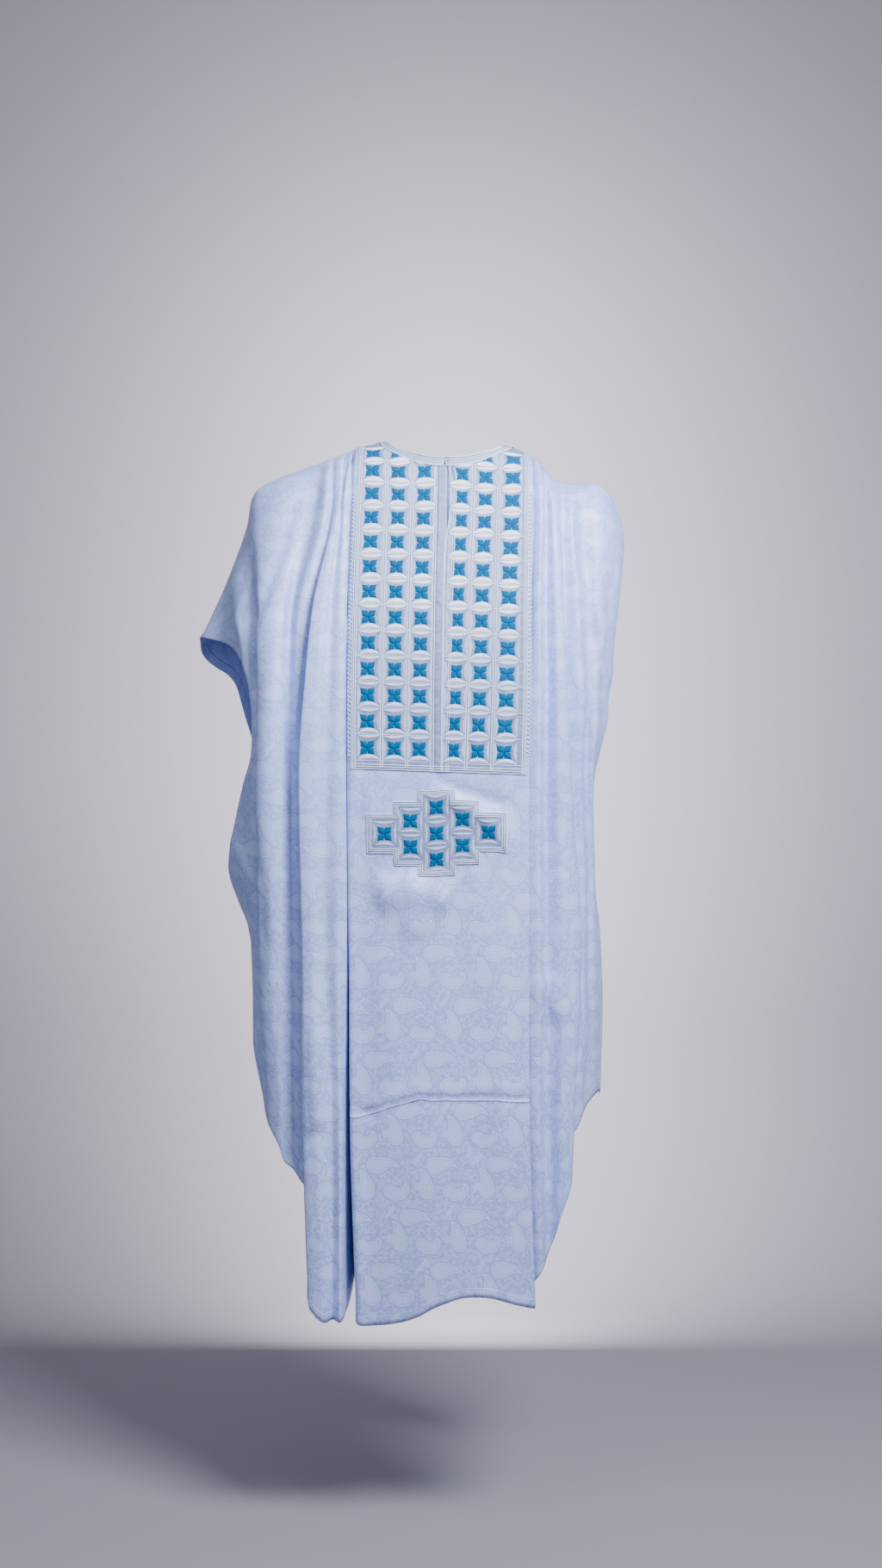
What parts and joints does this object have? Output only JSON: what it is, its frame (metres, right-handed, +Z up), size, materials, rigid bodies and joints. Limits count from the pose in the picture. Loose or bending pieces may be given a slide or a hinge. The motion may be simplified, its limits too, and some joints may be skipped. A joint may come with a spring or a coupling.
{
  "type": "grand boubou robe",
  "caption": "Wide white damask robe in worn form, with deep shoulder pleats, open sleeves and a field of embroidered stars on the chest.",
  "frame": {"origin": "between the wearer's shoulders, at the middle of the neck hole, where the robe is carried", "axes": "+Z up, +X to the wearer's left, and the front of the robe faces -Y"},
  "size_m": [0.6078, 0.3277, 1.2424],
  "materials": {
    "damask": "satin",
    "embroidery": "satin",
    "cord": "satin"
  },
  "bodies": {
    "root": {"front_panel": "damask", "back_panel": "damask", "right_wing": "damask", "left_wing": "damask", "neckband": "cord", "placket": "embroidery", "chest_embroidery_right": "embroidery", "chest_embroidery_left": "embroidery", "lozenge_embroidery": "embroidery"}
  },
  "joints": []
}
